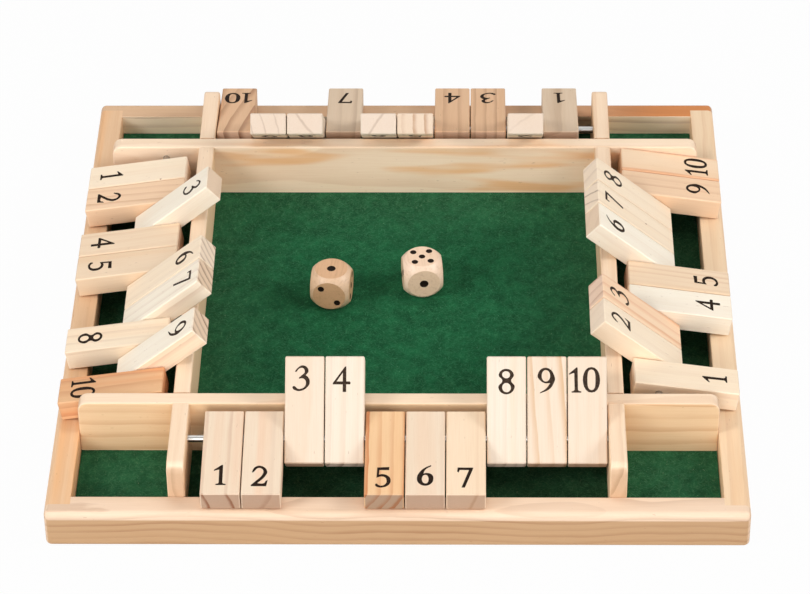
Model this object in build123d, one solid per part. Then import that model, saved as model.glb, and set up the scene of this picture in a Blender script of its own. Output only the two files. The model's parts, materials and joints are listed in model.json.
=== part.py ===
from build123d import *
import math
import os

os.makedirs("parts", exist_ok=True)

# Four-sided number-tile dice game in pine. A low square frame holds a felted floor.
# Four taller dividers cross on the floor and leave a square playing field, four
# troughs and four corner pockets. A steel rod spans each trough and carries ten
# tiles, which lie outwards on the rail or lean inwards on the divider.
#
# Millimetres. Origin: centre of the underside. +Z up, front rail towards -Y.

# ---------------------------------------------------------------- frame of four rails
box_side = 300.0            # outer side of the square frame
rail_height = 18.3          # rails stand on the table and end at this height
rail_thickness = 11.0
corner_lip = 6.0            # front and back rails cover the side rails' ends this thick
outer_round = 2.6           # rounding of the frame's outer edges
foot_round = 1.6            # rounding where the outside meets the table
inner_soft = 0.5            # softening of the rails' inner top edges

# ---------------------------------------------------------------- floor
panel_thickness = 3.0
panel_recess = 4.4          # underside of the floor panel above the table
groove_depth = 4.0          # how far the panel reaches into the rails
groove_play = 0.3           # gap between the panel's edge and the bottom of its groove
felt_thickness = 1.0
felt_trim = 0.3             # gap between the felt's edge and the rails

# ---------------------------------------------------------------- crossing dividers
trough_width = 41.3         # from a rail's inner face to the divider along it
divider_height = 35.2       # top edge above the table
divider_thickness = 7.4
divider_soft = 0.9          # softening of the long top edges
divider_end_round = 4.5     # rounding of the ends where they stand above the rails
halving_play = 0.05         # side gap in the cross-halved joints

# ---------------------------------------------------------------- pivot rods
rod_diameter = 3.2
rod_setback = 15.65         # rod axis behind the divider's trough face
rod_height = 28.8           # rod axis above the table
rod_socket_depth = 4.5      # blind holes in the dividers that take the rod's ends
rod_end_play = 0.3
rod_socket_play = 0.03      # radial

# ---------------------------------------------------------------- number tiles
tiles_per_row = 10
tile_thickness = 9.9
tile_short_arm = 11.5       # from the bore's axis to the plain end
tile_end_inset = 2.7        # numbered end of a lying tile, inside the frame's outer face
tile_gap = 0.55             # between tiles in a row, and between a tile and a divider
tile_chamfer = 0.45         # broken edges
bore_play = 0.08            # radial gap between tile and rod
stop_gap = 0.3              # between a tile at its stop and the wood that it rests on

# ---------------------------------------------------------------- two dice
die_side = 18.0
die_ball_ratio = 1.3        # corner sphere's diameter over the side
pip_spacing = 3.65          # from a face's middle to its outer pips
pip_diameter = 3.0
ace_diameter = 4.0          # the single pip is larger
pip_depth = 0.5
die_left_place = (-32.3, 8.1, -6.5)     # x, y and turn in degrees
die_right_place = (9.1, 17.1, 6.5)

# Tiles that lean inwards in the stored position. Each row is numbered from left to
# right as the player on that side sees it.
row_sides = ("front", "right", "back", "left")
raised_tiles = {
    "front": (3, 4, 8, 9, 10),
    "right": (2, 3, 6, 7, 8),
    "back": (2, 5, 6, 8, 9),
    "left": (3, 6, 7, 9),
}

# ---------------------------------------------------------------- derived places
half_box = box_side / 2
inner_half = half_box - rail_thickness
divider_back = inner_half - trough_width
divider_centre = divider_back - divider_thickness / 2
field_half = divider_back - divider_thickness
panel_top = panel_recess + panel_thickness
felt_top = panel_top + felt_thickness
rod_out = divider_back + rod_setback
half_tile = tile_thickness / 2

# Lying tile: its lower numbered corner sits over the rail. The long arm is the length
# that reaches that corner from the rod, and the slope follows from it.
lying_run = half_box - tile_end_inset - rod_out
lying_drop = rod_height - rail_height - stop_gap
tile_long_arm = math.sqrt(lying_run**2 + lying_drop**2 - half_tile**2)
lying_slope = math.degrees(
    math.atan2(lying_drop, lying_run) - math.atan2(half_tile, tile_long_arm)
)

# Raised tile: its under face leans on the divider's trough-side top edge.
lean_run = rod_setback
lean_rise = divider_height - rod_height
lean_slope = math.degrees(
    math.atan2(lean_rise, lean_run)
    + math.asin((half_tile + stop_gap) / math.hypot(lean_run, lean_rise))
)
tile_travel = 180 - lean_slope + lying_slope

# A raised tile's end overhangs the field, so each row starts clear of the last tile of
# the row beside it as well as of its own divider. It ends at the far divider.
lean_angle = math.radians(lean_slope)
overhang = tile_long_arm * math.cos(lean_angle) + half_tile * math.sin(lean_angle)
row_end = field_half - tile_gap
row_start = -min(row_end, rod_out - overhang - stop_gap)
tile_pitch = (row_end - row_start + tile_gap) / tiles_per_row
tile_width = tile_pitch - tile_gap

print(f"tile {tile_width:.2f} x {tile_long_arm + tile_short_arm:.2f} x {tile_thickness}")
print(f"rod at {rod_out:.2f}, {rod_height}; row from {row_start:.2f} to {row_end:.2f}")
print(f"lying {lying_slope:.3f}, lean {lean_slope:.3f}, travel {tile_travel:.3f} degrees")


def block(x_span, y_span, z_span):
    """Square-edged block between three pairs of coordinates."""
    (x0, x1), (y0, y1), (z0, z1) = x_span, y_span, z_span
    size = Box(x1 - x0, y1 - y0, z1 - z0)
    return Pos((x0 + x1) / 2, (y0 + y1) / 2, (z0 + z1) / 2) * size


def edges_at(solid, axis, place):
    """Edges that lie in the plane at this height along an axis."""
    near = 0.01
    return solid.edges().filter_by_position(axis, place - near, place + near)


def frame_ring():
    """The whole frame with its outer edges rounded and its inner ones softened."""
    ring = block((-half_box, half_box), (-half_box, half_box), (0, rail_height))
    uprights = ring.edges().filter_by(Axis.Z)
    ring = fillet(uprights, outer_round)
    ring = fillet(edges_at(ring, Axis.Z, rail_height), outer_round)
    ring = fillet(edges_at(ring, Axis.Z, 0), foot_round)
    inside = (-inner_half, inner_half)
    ring -= block(inside, inside, (0, rail_height))
    reach = inner_half + inner_soft
    rim = edges_at(ring, Axis.Z, rail_height)
    rim = rim.filter_by_position(Axis.X, -reach, reach)
    rim = rim.filter_by_position(Axis.Y, -reach, reach)
    return fillet(rim, inner_soft)


def floor_groove():
    """Space that the floor panel's edge takes out of the rails."""
    reach = inner_half + groove_depth + groove_play
    return block((-reach, reach), (-reach, reach), (panel_recess, panel_top))


def rails():
    """Four rails cut from the ring. Side rails end in rebates behind the lips."""
    ring = frame_ring() - floor_groove()
    lip_face = half_box - corner_lip
    height = (0, rail_height)
    left_space = block((-half_box, -inner_half), (-lip_face, lip_face), height)
    right_space = block((inner_half, half_box), (-lip_face, lip_face), height)
    cross = (-half_box, half_box)
    front_space = block(cross, (-half_box, -inner_half), height) - left_space - right_space
    back_space = block(cross, (inner_half, half_box), height) - left_space - right_space
    return {
        "rail_front": ring & front_space,
        "rail_back": ring & back_space,
        "rail_left": ring & left_space,
        "rail_right": ring & right_space,
    }


def floor_panel():
    """Thin board held in the rails' groove."""
    reach = inner_half + groove_depth
    return block((-reach, reach), (-reach, reach), (panel_recess, panel_top))


def floor_felt():
    """One sheet of felt over the whole inside of the frame."""
    reach = inner_half - felt_trim
    return block((-reach, reach), (-reach, reach), (panel_top, felt_top))


def divider_blank():
    """Divider along X, centred, before its joints are cut."""
    half_thickness = divider_thickness / 2
    blank = block(
        (-inner_half, inner_half),
        (-half_thickness, half_thickness),
        (felt_top, divider_height),
    )
    top = edges_at(blank, Axis.Z, divider_height)
    blank = fillet(top.filter_by(Axis.Y), divider_end_round)
    top = edges_at(blank, Axis.Z, divider_height)
    return fillet(top.filter_by(Axis.X), divider_soft)


def halving_slots(z_span):
    """Slots where the two dividers of the other direction pass through."""
    half_slot = divider_thickness / 2 + halving_play
    width = (-divider_thickness, divider_thickness)
    slots = [
        block((place - half_slot, place + half_slot), width, z_span)
        for place in (-divider_centre, divider_centre)
    ]
    return slots[0] + slots[1]


def rod_sockets():
    """Blind holes for the rods, in both ends of a divider, on its field side (+Y)."""
    radius = rod_diameter / 2 + rod_socket_play
    hole = Rot(90, 0, 0) * Cylinder(radius, rod_socket_depth)
    face = divider_thickness / 2
    holes = [
        Pos(place, face - rod_socket_depth / 2, rod_height) * hole
        for place in (-rod_out, rod_out)
    ]
    return holes[0] + holes[1]


def dividers():
    """Two dividers along X slotted from below, and two along Y slotted from above."""
    middle = (felt_top + divider_height) / 2
    plain = divider_blank() - rod_sockets()
    under = plain - halving_slots((felt_top, middle))
    over = plain - halving_slots((middle, divider_height))
    return {
        "divider_front": Pos(0, -divider_centre, 0) * under,
        "divider_back": Rot(0, 0, 180) * (Pos(0, -divider_centre, 0) * under),
        "divider_right": Rot(0, 0, 90) * (Pos(0, -divider_centre, 0) * over),
        "divider_left": Rot(0, 0, 270) * (Pos(0, -divider_centre, 0) * over),
    }


def pivot_rod():
    """Front row's rod, with its ends in the left and right dividers."""
    half_length = field_half + rod_socket_depth - rod_end_play
    rod = Rot(0, 90, 0) * Cylinder(rod_diameter / 2, 2 * half_length)
    return Pos(0, -rod_out, rod_height) * rod


def tile_blank():
    """Tile bored across near its plain end. The bore is on the X axis, and the
    numbered end points to -Y."""
    half_width = tile_width / 2
    tile = block(
        (-half_width, half_width),
        (-tile_long_arm, tile_short_arm),
        (-half_tile, half_tile),
    )
    tile = chamfer(tile.edges(), tile_chamfer)
    bore = Rot(0, 90, 0) * Cylinder(rod_diameter / 2 + bore_play, tile_width)
    return tile - bore


def row_of_tiles(side, quarter_turns):
    """Ten tiles of one side, lying or raised, numbered from the player's left."""
    blank = tile_blank()
    lying = Rot(lying_slope, 0, 0) * blank
    raised = Rot(lean_slope - 180, 0, 0) * blank
    row = {}
    for number in range(1, tiles_per_row + 1):
        along = row_start + (number - 1) * tile_pitch + tile_width / 2
        tile = raised if number in raised_tiles[side] else lying
        placed = Pos(along, -rod_out, rod_height) * tile
        row[f"tile_{side}_{number:02d}"] = Rot(0, 0, 90 * quarter_turns) * placed
    return row


def pip_places(count):
    """Pips of one face, as steps from its middle."""
    corners = [(-1, 1), (1, -1), (-1, -1), (1, 1)]
    places = corners[: count - count % 2]
    if count == 6:
        places = corners + [(-1, 0), (1, 0)]
    if count % 2:
        places = places + [(0, 0)]
    return places


def die(count_of_face):
    """Cube rounded by a sphere, with a shallow round recess for each pip. The counts
    are given for the faces towards +Z, -Y and +X, and opposite faces add up to 7."""
    ball = Sphere(die_side * die_ball_ratio / 2)
    body = Box(die_side, die_side, die_side) & ball
    face_turns = {
        "top": Rot(0, 0, 0),
        "bottom": Rot(180, 0, 0),
        "front": Rot(90, 0, 0),
        "back": Rot(-90, 0, 0),
        "right": Rot(0, 90, 0),
        "left": Rot(0, -90, 0),
    }
    for face, turn in face_turns.items():
        count = count_of_face[face]
        radius = (ace_diameter if count == 1 else pip_diameter) / 2
        pip = Cylinder(radius, pip_depth)
        for step_x, step_y in pip_places(count):
            place = Pos(
                step_x * pip_spacing,
                step_y * pip_spacing,
                die_side / 2 - pip_depth / 2,
            )
            body -= turn * (place * pip)
    return body


def die_faces(top, front, right):
    """Counts of all six faces from the three that are named."""
    return {
        "top": top,
        "front": front,
        "right": right,
        "bottom": 7 - top,
        "back": 7 - front,
        "left": 7 - right,
    }


def placed_die(faces, place):
    """Die standing on the felt at x and y, turned about its upright axis."""
    x, y, turn = place
    return Pos(x, y, felt_top + die_side / 2) * (Rot(0, 0, turn) * die(faces))


nodes = {}
nodes.update(rails())
nodes["base_panel"] = floor_panel()
nodes["felt_sheet"] = floor_felt()
nodes.update(dividers())
for turns, side in enumerate(row_sides):
    nodes[f"rod_{side}"] = Rot(0, 0, 90 * turns) * pivot_rod()
    nodes.update(row_of_tiles(side, turns))
nodes["die_left"] = placed_die(die_faces(top=1, front=2, right=3), die_left_place)
nodes["die_right"] = placed_die(die_faces(top=5, front=1, right=4), die_right_place)

for name, shape in nodes.items():
    export_step(shape, f"parts/{name}.step")
print(f"{len(nodes)} nodes written")
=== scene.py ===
"""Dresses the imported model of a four-sided flip-tile game in pine, felt, steel and numerals."""

import json
import logging
import math
from collections.abc import Sequence
from dataclasses import dataclass, field
from enum import Enum

import bmesh
import bpy
from mathutils import Matrix, Vector, noise

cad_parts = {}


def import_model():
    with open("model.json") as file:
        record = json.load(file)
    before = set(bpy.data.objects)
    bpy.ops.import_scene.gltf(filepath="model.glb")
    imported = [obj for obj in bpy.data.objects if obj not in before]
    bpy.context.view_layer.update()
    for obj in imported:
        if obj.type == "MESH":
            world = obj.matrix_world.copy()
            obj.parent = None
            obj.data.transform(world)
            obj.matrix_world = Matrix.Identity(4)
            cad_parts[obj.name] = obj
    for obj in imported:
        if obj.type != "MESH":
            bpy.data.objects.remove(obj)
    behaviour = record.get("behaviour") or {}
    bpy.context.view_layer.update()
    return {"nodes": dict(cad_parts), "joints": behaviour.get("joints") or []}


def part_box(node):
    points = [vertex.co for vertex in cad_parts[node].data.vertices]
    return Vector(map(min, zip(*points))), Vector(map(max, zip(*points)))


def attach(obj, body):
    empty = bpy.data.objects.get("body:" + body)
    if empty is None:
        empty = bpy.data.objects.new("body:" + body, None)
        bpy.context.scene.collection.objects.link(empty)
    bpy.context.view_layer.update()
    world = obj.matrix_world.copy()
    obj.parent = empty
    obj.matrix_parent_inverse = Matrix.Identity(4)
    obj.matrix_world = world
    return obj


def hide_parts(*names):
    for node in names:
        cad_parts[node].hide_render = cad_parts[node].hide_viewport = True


LOG = logging.getLogger("flip_tile_game")
MM = 0.001
LINE_PEAK = 0.93
TILE_FACE_UP = 4.9
Colour = tuple[float, float, float]
Socket = bpy.types.NodeSocket


def paint(red: int, green: int, blue: int) -> Colour:
    """Turns a colour as seen on a screen into the linear colour that shaders use.

    Args:
        red: Red, from 0 to 255.
        green: Green, from 0 to 255.
        blue: Blue, from 0 to 255.

    Returns:
        The same colour in linear values from 0 to 1.
    """

    def linear(level: int) -> float:
        """Gives one channel in linear light."""
        share = level / 255
        if share <= 0.04045:
            return share / 12.92
        return ((share + 0.055) / 1.055) ** 2.4

    return linear(red), linear(green), linear(blue)


class Side(Enum):
    """The four sides of the tray, by the quarter turns from the front."""

    FRONT = 0
    RIGHT = 1
    BACK = 2
    LEFT = 3

    @property
    def word(self) -> str:
        """The side as it stands in the names of nodes."""
        return self.name.lower()


class NodeBench:
    """Lays out the nodes of one material and joins them."""

    def __init__(self, name: str) -> None:
        """Starts a material that holds one principled shader.

        Args:
            name: The material's name.
        """
        self.material = bpy.data.materials.new(name)
        self.material.use_nodes = True
        self.nodes = self.material.node_tree.nodes
        self.links = self.material.node_tree.links
        self.nodes.clear()
        output = self.nodes.new("ShaderNodeOutputMaterial")
        self.surface = self.nodes.new("ShaderNodeBsdfPrincipled")
        self.links.new(self.surface.outputs["BSDF"], output.inputs["Surface"])

    def feed(self, socket: Socket, value: Socket | float | Sequence[float]) -> None:
        """Gives a socket its value, or joins another node's output to it.

        Args:
            socket: The input that is fed.
            value: A number, a vector, a colour or an output.
        """
        if isinstance(value, bpy.types.NodeSocket):
            self.links.new(value, socket)
        elif socket.type == "RGBA":
            socket.default_value = (*value, 1.0)
        else:
            socket.default_value = value

    def coordinates(self, kind: str) -> Socket:
        """Gives the piece's own coordinates.

        Args:
            kind: "Object" for places and "Normal" for directions.

        Returns:
            The vector output.
        """
        return self.nodes.new("ShaderNodeTexCoord").outputs[kind]

    def mapped(
        self,
        vector: Socket,
        scale: Sequence[float] = (1, 1, 1),
        turn: Sequence[float] = (0, 0, 0),
        shift: Sequence[float] = (0, 0, 0),
        kind: str = "POINT",
    ) -> Socket:
        """Scales, turns and shifts a vector, in that order.

        Args:
            vector: The vector to change.
            scale: Scale along each axis.
            turn: Euler angles in radians.
            shift: The shift that comes last.
            kind: The mapping's kind.

        Returns:
            The changed vector.
        """
        node = self.nodes.new("ShaderNodeMapping")
        node.vector_type = kind
        self.feed(node.inputs["Vector"], vector)
        node.inputs["Scale"].default_value = scale
        node.inputs["Rotation"].default_value = turn
        if kind == "POINT":
            node.inputs["Location"].default_value = shift
        return node.outputs["Vector"]

    def split(self, vector: Socket) -> tuple[Socket, Socket, Socket]:
        """Splits a vector into its three numbers."""
        node = self.nodes.new("ShaderNodeSeparateXYZ")
        self.feed(node.inputs[0], vector)
        return node.outputs[0], node.outputs[1], node.outputs[2]

    def sum(self, operation: str, *values: Socket | float) -> Socket:
        """Works out one sum.

        Args:
            operation: The math node's operation.
            values: Its inputs, in order.

        Returns:
            The result.
        """
        node = self.nodes.new("ShaderNodeMath")
        node.operation = operation
        for socket, value in zip(node.inputs, values):
            self.feed(socket, value)
        return node.outputs[0]

    def cloud(
        self,
        vector: Socket,
        scale: Sequence[float],
        seed: float,
        detail: float = 2.0,
        roughness: float = 0.5,
    ) -> Socket:
        """Gives a soft noise from 0 to 1 that may be stretched.

        Args:
            vector: Places in millimetres.
            scale: Repeats to the millimetre along each axis.
            seed: Sets this noise apart from others.
            detail: Octaves.
            roughness: Share that each octave keeps.

        Returns:
            The noise.
        """
        node = self.nodes.new("ShaderNodeTexNoise")
        node.noise_dimensions = "4D"
        self.feed(node.inputs["Vector"], self.mapped(vector, scale))
        node.inputs["W"].default_value = seed
        node.inputs["Scale"].default_value = 1.0
        node.inputs["Detail"].default_value = detail
        node.inputs["Roughness"].default_value = roughness
        return node.outputs[0]

    def step(self, value: Socket, low: float, high: float, most: float = 1.0) -> Socket:
        """Rises smoothly from 0 to most while the value goes from low to high.

        Args:
            value: The value that is read.
            low: Where the rise starts.
            high: Where it ends. It may be below low.
            most: The level after the rise.

        Returns:
            The level.
        """
        node = self.nodes.new("ShaderNodeMapRange")
        node.interpolation_type = "SMOOTHSTEP"
        for name, number in (("From Min", low), ("From Max", high), ("To Min", 0.0), ("To Max", most)):
            node.inputs[name].default_value = number
        self.feed(node.inputs["Value"], value)
        return node.outputs[0]

    def blend(
        self,
        share: Socket | float,
        under: Socket | Colour,
        over: Socket | Colour,
        kind: str = "MIX",
    ) -> Socket:
        """Lays one colour over another.

        Args:
            share: How much of the upper colour shows.
            under: The lower colour.
            over: The upper colour.
            kind: The blend type.

        Returns:
            The mixed colour.
        """
        node = self.nodes.new("ShaderNodeMix")
        node.data_type = "RGBA"
        node.blend_type = kind
        by_name = {socket.identifier: socket for socket in node.inputs}
        self.feed(by_name["Factor_Float"], share)
        self.feed(by_name["A_Color"], under)
        self.feed(by_name["B_Color"], over)
        return next(s for s in node.outputs if s.identifier == "Result_Color")

    def bump(self, height: Socket, depth_mm: float, strength: float) -> None:
        """Raises the surface's grain by a height from 0 to 1.

        Args:
            height: The height pattern.
            depth_mm: What a height of 1 stands for, in millimetres.
            strength: How much of it shows.
        """
        node = self.nodes.new("ShaderNodeBump")
        node.inputs["Strength"].default_value = strength
        node.inputs["Distance"].default_value = depth_mm * MM
        self.feed(node.inputs["Height"], height)
        self.feed(self.surface.inputs["Normal"], node.outputs["Normal"])

    def dress(self, **levels: Socket | float | Sequence[float]) -> None:
        """Sets the shader's sockets, named with _ for a space.

        Args:
            levels: The value of each socket.
        """
        for name, value in levels.items():
            self.feed(self.surface.inputs[name.replace("_", " ")], value)


@dataclass(frozen=True)
class Lie:
    """How a piece lies: its middle and its own three directions, all unit vectors."""

    middle: Vector
    along: Vector
    across: Vector
    up: Vector

    @property
    def turn(self) -> Matrix:
        """Turns the row frame's directions into the piece's own."""
        return Matrix((self.along, self.across, self.up))

    @staticmethod
    def of_box(node: str, along: Vector) -> "Lie":
        """Gives the lie of a level piece.

        Args:
            node: The CAD node.
            along: The direction of its grain.

        Returns:
            Its lie.
        """
        low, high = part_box(node)
        up = Vector((0, 0, 1))
        return Lie((low + high) / 2, along, up.cross(along), up)


class Tone(Enum):
    """Shades of pine: early wood, late wood, heart wood and end grain."""

    # The end-grain colours are partly the end grain's own deeper tone and partly painted shade: the tones
    # of the front row's lying tiles, whose ends face forward and down, carry the darkest ends.
    BLEACHED = (paint(255, 245, 227), paint(186, 134, 98), paint(250, 224, 194), paint(236, 208, 180))
    CREAM = (paint(254, 235, 209), paint(180, 126, 86), paint(248, 214, 178), paint(248, 228, 206))
    MILK = (paint(233, 219, 202), paint(176, 128, 94), paint(236, 204, 170), paint(227, 208, 191))
    PALE = (paint(231, 212, 192), paint(204, 156, 102), paint(234, 200, 164), paint(200, 162, 134))
    STRAW = (paint(243, 218, 189), paint(204, 150, 100), paint(240, 200, 156), paint(186, 152, 127))
    ROSE = (paint(236, 215, 191), paint(178, 112, 72), paint(238, 192, 158), paint(181, 147, 123))
    TAN = (paint(247, 212, 178), paint(204, 146, 100), paint(238, 188, 142), paint(236, 206, 182))
    HONEY = (paint(237, 198, 154), paint(206, 134, 84), paint(236, 184, 132), paint(166, 138, 116))
    PEACH = (paint(254, 222, 190), paint(224, 152, 104), paint(246, 200, 158), paint(242, 214, 194))
    AMBER = (paint(249, 219, 186), paint(234, 156, 102), paint(242, 190, 144), paint(214, 168, 128))
    BLUSH = (paint(242, 222, 200), paint(226, 168, 124), paint(236, 190, 150), paint(228, 206, 184))
    # Painted shade: these two tones are darker and greyer for the back row's lying tiles, whose tops tilt
    # away from the light.
    DUSK = (paint(233, 192, 154), paint(160, 102, 64), paint(216, 164, 118), paint(210, 174, 148))
    ASH = (paint(228, 204, 177), paint(164, 126, 92), paint(206, 174, 140), paint(196, 160, 134))
    EMBER = (paint(232, 186, 142), paint(182, 102, 60), paint(228, 152, 100), paint(206, 148, 104))
    BOARD = (paint(253, 226, 197), paint(208, 154, 108), paint(242, 207, 165), paint(216, 180, 146))
    RUDDY = (paint(246, 217, 182), paint(208, 150, 102), paint(240, 190, 140), paint(230, 190, 152))
    HUMID = (paint(255, 230, 202), paint(214, 158, 110), paint(247, 196, 144), paint(234, 196, 160))
    FRAME = (paint(243, 214, 187), paint(160, 112, 74), paint(199, 161, 122), paint(220, 184, 150))
    ORANGE = (paint(236, 197, 158), paint(204, 144, 94), paint(240, 186, 134), paint(226, 176, 132))
    RUSSET = (paint(225, 187, 151), paint(158, 104, 66), paint(216, 140, 82), paint(212, 176, 150))


@dataclass(frozen=True)
class PineCut:
    """Pine as it was sawn for one piece. Its rings run round a pith beside the piece."""

    tone: Tone = Tone.CREAM
    pith_angle: float = 45.0
    pith_distance: float = 40.0
    ring: float = 3.0
    contrast: float = 0.5
    blush: float = 0.2
    wave: float = 0.6
    lean: float = 0.01
    knot: tuple[float, float, float] | None = None
    core: float = 0.0
    late: float = 0.5
    end_contrast: float = 0.6
    line_at: tuple[float, float] = (0.0, 0.0)
    # The next three fields paint shading on the side faces that look across the grain.
    flank: float = 0.15
    flank_colour: Colour | None = None
    # Painted highlight: above this height the side faces keep the pale wood, standing in for the highlight
    # on a rounder top edge.
    flank_reach: float | None = None
    streak_length: float = 200.0
    # Painted light: a deeper orange on the upward faces over a stretch along the piece.
    glow: tuple[float, float] | None = None
    roughness: float = 0.5

    def material(self, name: str, lie: Lie, seed: float) -> bpy.types.Material:
        """Makes the wood of one piece, with its grain running along the piece.

        Args:
            name: The material's name.
            lie: How the piece lies.
            seed: Sets this piece's figure apart.

        Returns:
            The material.
        """
        bench = NodeBench(name)
        early, late, heart, end = self.tone.value
        turn = lie.turn
        angles = turn.to_euler("XYZ")
        shift = -(turn @ lie.middle) / MM
        place = bench.mapped(bench.coordinates("Object"), (1 / MM,) * 3, angles, shift)
        rings, reach, knot = self.ring_phase(bench, place, seed)
        band = bench.sum("FLOOR", rings)
        vary = bench.nodes.new("ShaderNodeTexWhiteNoise")
        vary.noise_dimensions = "1D"
        bench.feed(vary.inputs["W"], bench.sum("ADD", band, seed * 7.3))
        part = bench.sum("FRACT", rings)
        rise = bench.step(part, LINE_PEAK - self.late, LINE_PEAK)
        fall = bench.step(part, 1.0, LINE_PEAK + 0.01)
        line = bench.sum("MULTIPLY", rise, fall)
        depth = bench.sum("MULTIPLY_ADD", vary.outputs["Value"], 0.75, 0.35)
        fade = bench.step(bench.cloud(place, (0.012, 0.08, 0.08), seed + 3.1), 0.25, 0.65)
        fade = bench.sum("MULTIPLY_ADD", fade, 0.6, 0.4)
        line = bench.sum("MULTIPLY", bench.sum("MULTIPLY", line, depth), fade)
        facing = bench.mapped(bench.coordinates("Normal"), turn=angles, kind="VECTOR")
        towards_end, towards_flank, towards_top = bench.split(facing)
        end_share = bench.step(bench.sum("ABSOLUTE", towards_end), 0.6, 0.9)
        # Painted shading: faces that look across the grain take a set colour by the way they face; the
        # stronger rings there are grain.
        flank_shading_share = bench.step(bench.sum("ABSOLUTE", towards_flank), 0.6, 0.9, self.flank)
        # Painted highlight band: above the given height the side faces keep the pale wood.
        if self.flank_reach is not None:
            below = bench.step(bench.split(place)[2], self.flank_reach + 0.5, self.flank_reach - 0.5)
            flank_shading_share = bench.sum("MULTIPLY", flank_shading_share, below)
        more = self.end_contrast - self.contrast
        strength = bench.sum("MULTIPLY_ADD", end_share, more, self.contrast)
        strength = bench.sum("MULTIPLY_ADD", flank_shading_share, 0.35, strength)
        line = bench.sum("MINIMUM", bench.sum("MULTIPLY", line, strength), 1.0)
        streak = bench.cloud(place, (1 / self.streak_length, 0.13, 0.13), seed + 11.7, 1.5)
        streak = bench.step(streak, 0.50, 0.66, self.blush)
        # Painted light: the upward faces take the heart's deeper orange over a stretch along the piece.
        if self.glow is not None:
            glow = bench.step(bench.split(place)[0], *self.glow)
            glow = bench.sum("MULTIPLY", glow, bench.step(towards_top, 0.6, 0.9))
            streak = bench.sum("MAXIMUM", streak, glow)
        colour = bench.blend(streak, early, heart)
        # Painted shading of the side faces.
        colour = bench.blend(flank_shading_share, colour, self.flank_colour or heart)
        if self.core > 0:
            colour = bench.blend(bench.step(reach, self.core + 1.2, self.core - 1.2), colour, heart)
        colour = bench.blend(bench.sum("MULTIPLY", end_share, 0.9), colour, end)
        end_late = [a * 0.5 + b * 0.12 for a, b in zip(late, end)]
        colour = bench.blend(line, colour, bench.blend(end_share, late, end_late))
        fibre = bench.cloud(place, (0.06, 2.6, 2.6), seed + 5.9, 4.0, 0.62)
        shade = bench.step(fibre, 0.30, 0.78, 0.22)
        colour = bench.blend(shade, colour, (0.80, 0.66, 0.50), "MULTIPLY")
        patch = bench.step(bench.cloud(place, (0.016, 0.05, 0.05), seed + 8.8, 3.0), 0.35, 0.75, 0.22)
        colour = bench.blend(patch, colour, (0.90, 0.80, 0.68), "MULTIPLY")
        fleck = bench.cloud(place, (0.30, 2.4, 2.4), seed + 23.0, 1.0)
        fleck = bench.step(fleck, 0.735, 0.79, 0.55)
        colour = bench.blend(fleck, colour, paint(150, 100, 62))
        if knot is not None:
            colour = bench.blend(bench.step(knot, 1.25, 0.75, 0.85), colour, paint(150, 92, 52))
            colour = bench.blend(bench.step(knot, 0.55, 0.35, 0.6), colour, paint(104, 60, 36))
        bench.dress(
            Base_Color=colour,
            Roughness=bench.sum("MULTIPLY_ADD", line, -0.12, self.roughness + 0.05),
            Specular_IOR_Level=0.32,
        )
        relief = bench.sum("MULTIPLY_ADD", line, 0.5, bench.sum("MULTIPLY", fibre, 0.5))
        bench.bump(relief, 0.12, 0.35)
        return bench.material

    def ring_phase(
        self, bench: NodeBench, place: Socket, seed: float
    ) -> tuple[Socket, Socket, Socket | None]:
        """Counts the growth rings from the pith to each point.

        Args:
            bench: The material's bench.
            place: Places in millimetres from the piece's middle.
            seed: Sets this piece's figure apart.

        Returns:
            The count of rings, the distance to the pith in millimetres, and the
            distance to the knot in knot radii or None.
        """
        angle = math.radians(self.pith_angle)
        along, across, up = bench.split(place)
        sway = bench.cloud(place, (0.014, 0.020, 0.020), seed + 1.3, 1.0)
        slope_across = bench.sum("MULTIPLY_ADD", along, self.lean, -self.pith_distance * math.cos(angle))
        slope_up = bench.sum("MULTIPLY_ADD", along, self.lean * 0.7, -self.pith_distance * math.sin(angle))
        far_across = bench.sum("ADD", across, slope_across)
        far_up = bench.sum("ADD", up, slope_up)
        squares = bench.sum("MULTIPLY_ADD", far_across, far_across, bench.sum("MULTIPLY", far_up, far_up))
        reach = bench.sum("SQRT", squares)
        reach = bench.sum("MULTIPLY_ADD", bench.sum("SUBTRACT", sway, 0.5), 6.0 * self.wave, reach)
        tremble = bench.cloud(place, (0.07, 0.30, 0.30), seed + 2.7, 2.0)
        shake = 0.3 * min(self.ring, 4.0)
        reach = bench.sum("MULTIPLY_ADD", bench.sum("SUBTRACT", tremble, 0.5), shake, reach)
        knot = None
        if self.knot is not None:
            knot_along, knot_across, radius = self.knot
            off_along = bench.sum("MULTIPLY", bench.sum("SUBTRACT", along, knot_along), 0.7 / radius)
            off_across = bench.sum("MULTIPLY", bench.sum("SUBTRACT", across, knot_across), 1 / radius)
            knot = bench.sum("SQRT", bench.sum(
                "MULTIPLY_ADD", off_along, off_along, bench.sum("MULTIPLY", off_across, off_across)))
            push = bench.sum("EXPONENT", bench.sum("MULTIPLY", bench.sum("MULTIPLY", knot, knot), -0.25))
            reach = bench.sum("MULTIPLY_ADD", push, radius * 0.8, reach)
        line_reach = math.hypot(
            self.line_at[0] - self.pith_distance * math.cos(angle),
            self.line_at[1] - self.pith_distance * math.sin(angle),
        )
        phase = LINE_PEAK - line_reach / self.ring
        return bench.sum("MULTIPLY_ADD", reach, 1 / self.ring, phase), reach, knot


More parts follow.
